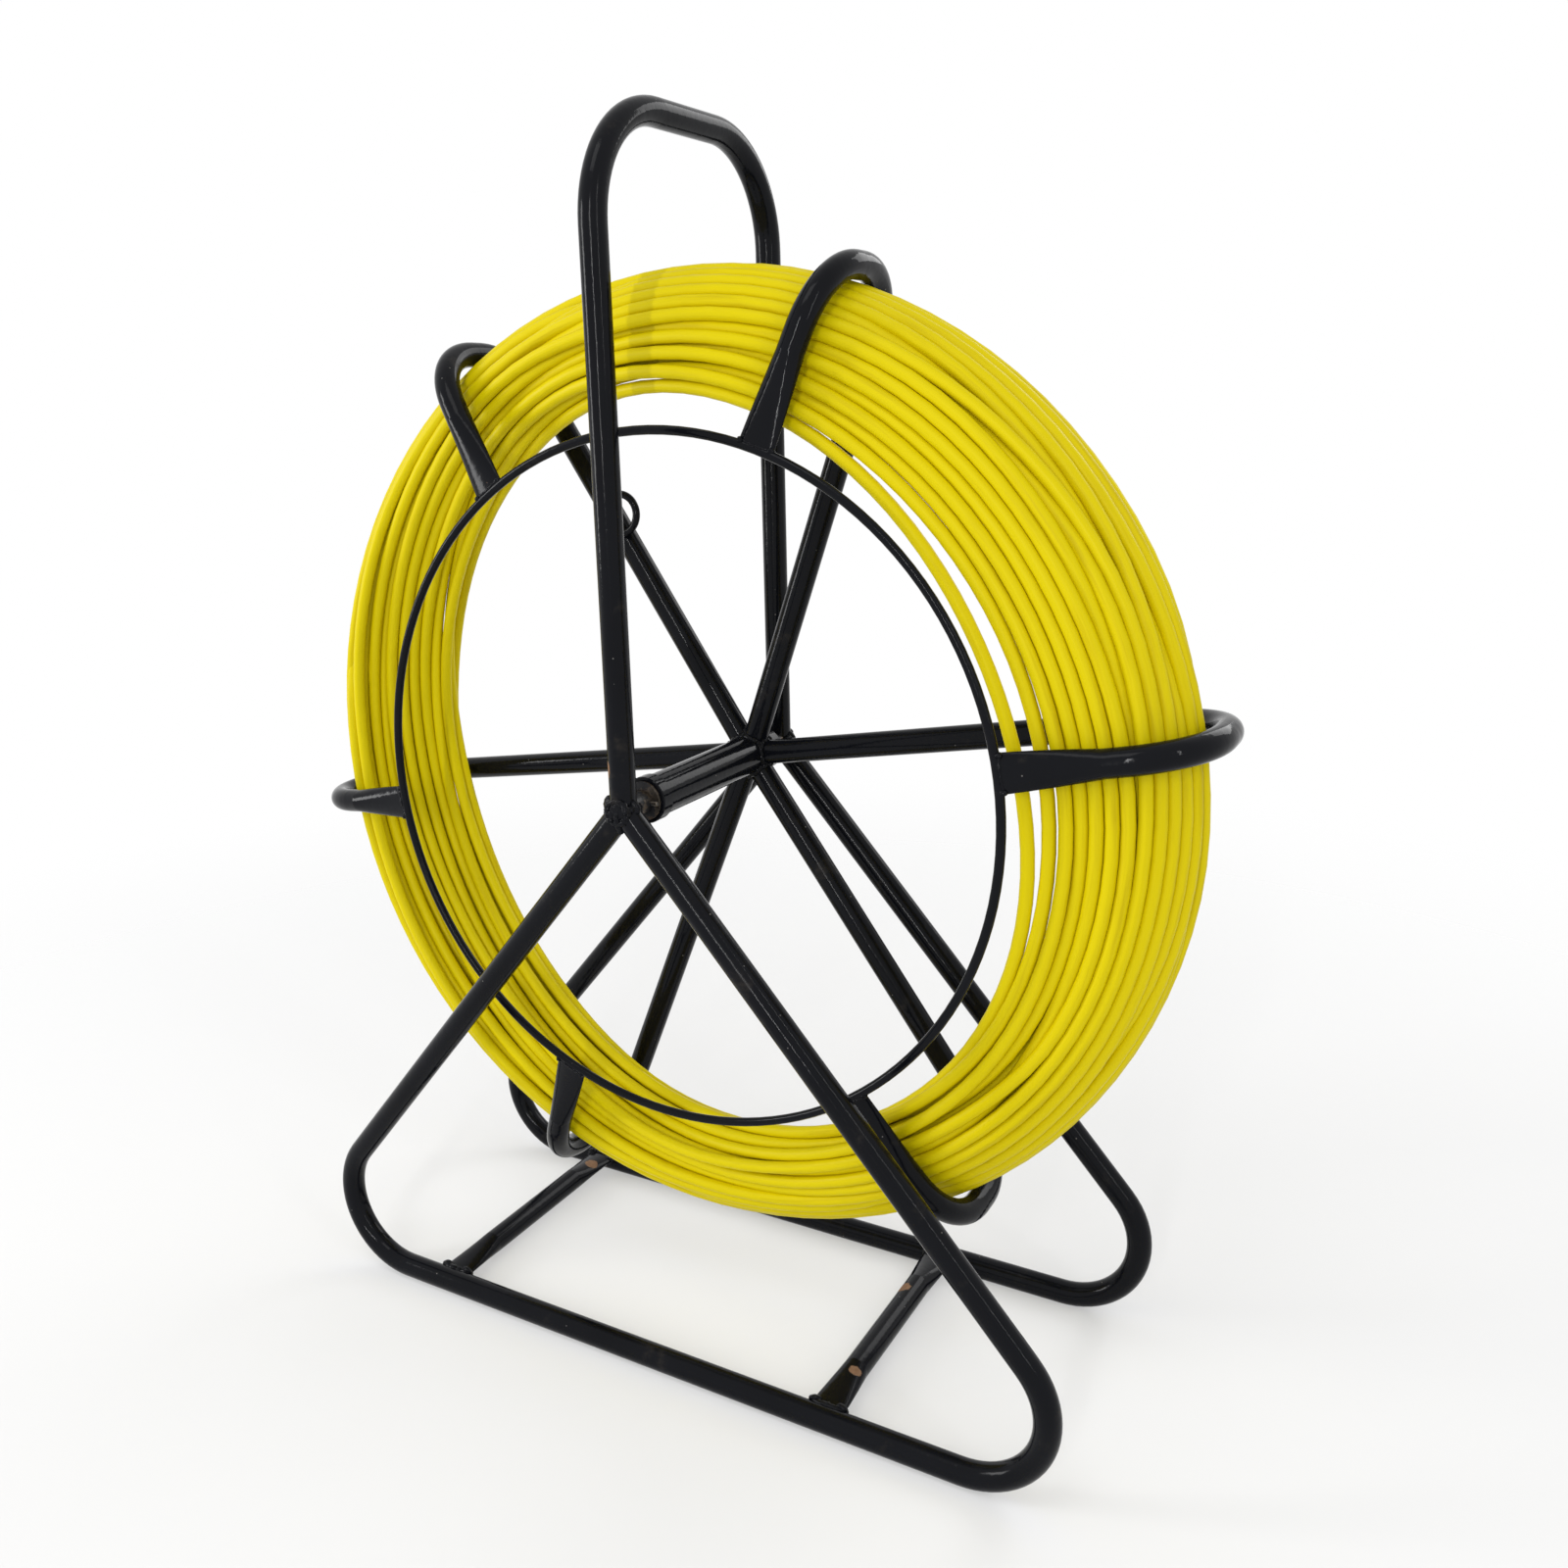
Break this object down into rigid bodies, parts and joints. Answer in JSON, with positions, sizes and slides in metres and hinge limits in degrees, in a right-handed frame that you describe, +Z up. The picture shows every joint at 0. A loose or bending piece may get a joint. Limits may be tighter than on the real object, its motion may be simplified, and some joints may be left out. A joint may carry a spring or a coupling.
{
  "type": "fish tape reel",
  "caption": "Fibreglass duct rod wound in a hooked wire reel that spins on an axle in a bent-tube stand with a hoop handle.",
  "frame": {"origin": "on the floor under the middle of the axle", "axes": "+X along the base rails, +Y along the axle from the front of the stand to its rear, +Z up"},
  "size_m": [0.643, 0.208, 0.771],
  "materials": {
    "black_enamel": "gloss black enamel, brushed or dipped over welds",
    "bare_steel": "bare steel with a brown film of rust",
    "bush_nylon": "turned nylon",
    "yellow_sheath": "smooth extruded polyethylene",
    "brass": "turned"
  },
  "bodies": {
    "stand": {"handle_hoop": "black_enamel", "front_leg_frame": "black_enamel", "rear_leg_frame": "black_enamel", "left_cross_tube": "black_enamel", "right_cross_tube": "black_enamel", "axle": "bare_steel", "front_thrust_washer": "bare_steel", "rear_thrust_washer": "bare_steel", "front_split_pin": "bare_steel", "rear_split_pin": "bare_steel"},
    "reel": {"hub_barrel": "black_enamel", "front_collar": "black_enamel", "rear_collar": "black_enamel", "spoke_hook_1": "black_enamel", "spoke_hook_2": "black_enamel", "spoke_hook_3": "black_enamel", "spoke_hook_4": "black_enamel", "spoke_hook_5": "black_enamel", "spoke_hook_6": "black_enamel", "front_ring": "black_enamel", "rod_eye": "black_enamel", "front_bush": "bush_nylon", "rear_bush": "bush_nylon", "rod_coil": "yellow_sheath", "lead_ferrule": "brass", "tail_ferrule": "brass"}
  },
  "joints": [
    {"name": "reel_spin", "type": "hinge", "parent": "stand", "child": "reel", "pos_m": [0, 0, 0.378], "axis": [0, 1, 0], "continuous": true}
  ]
}
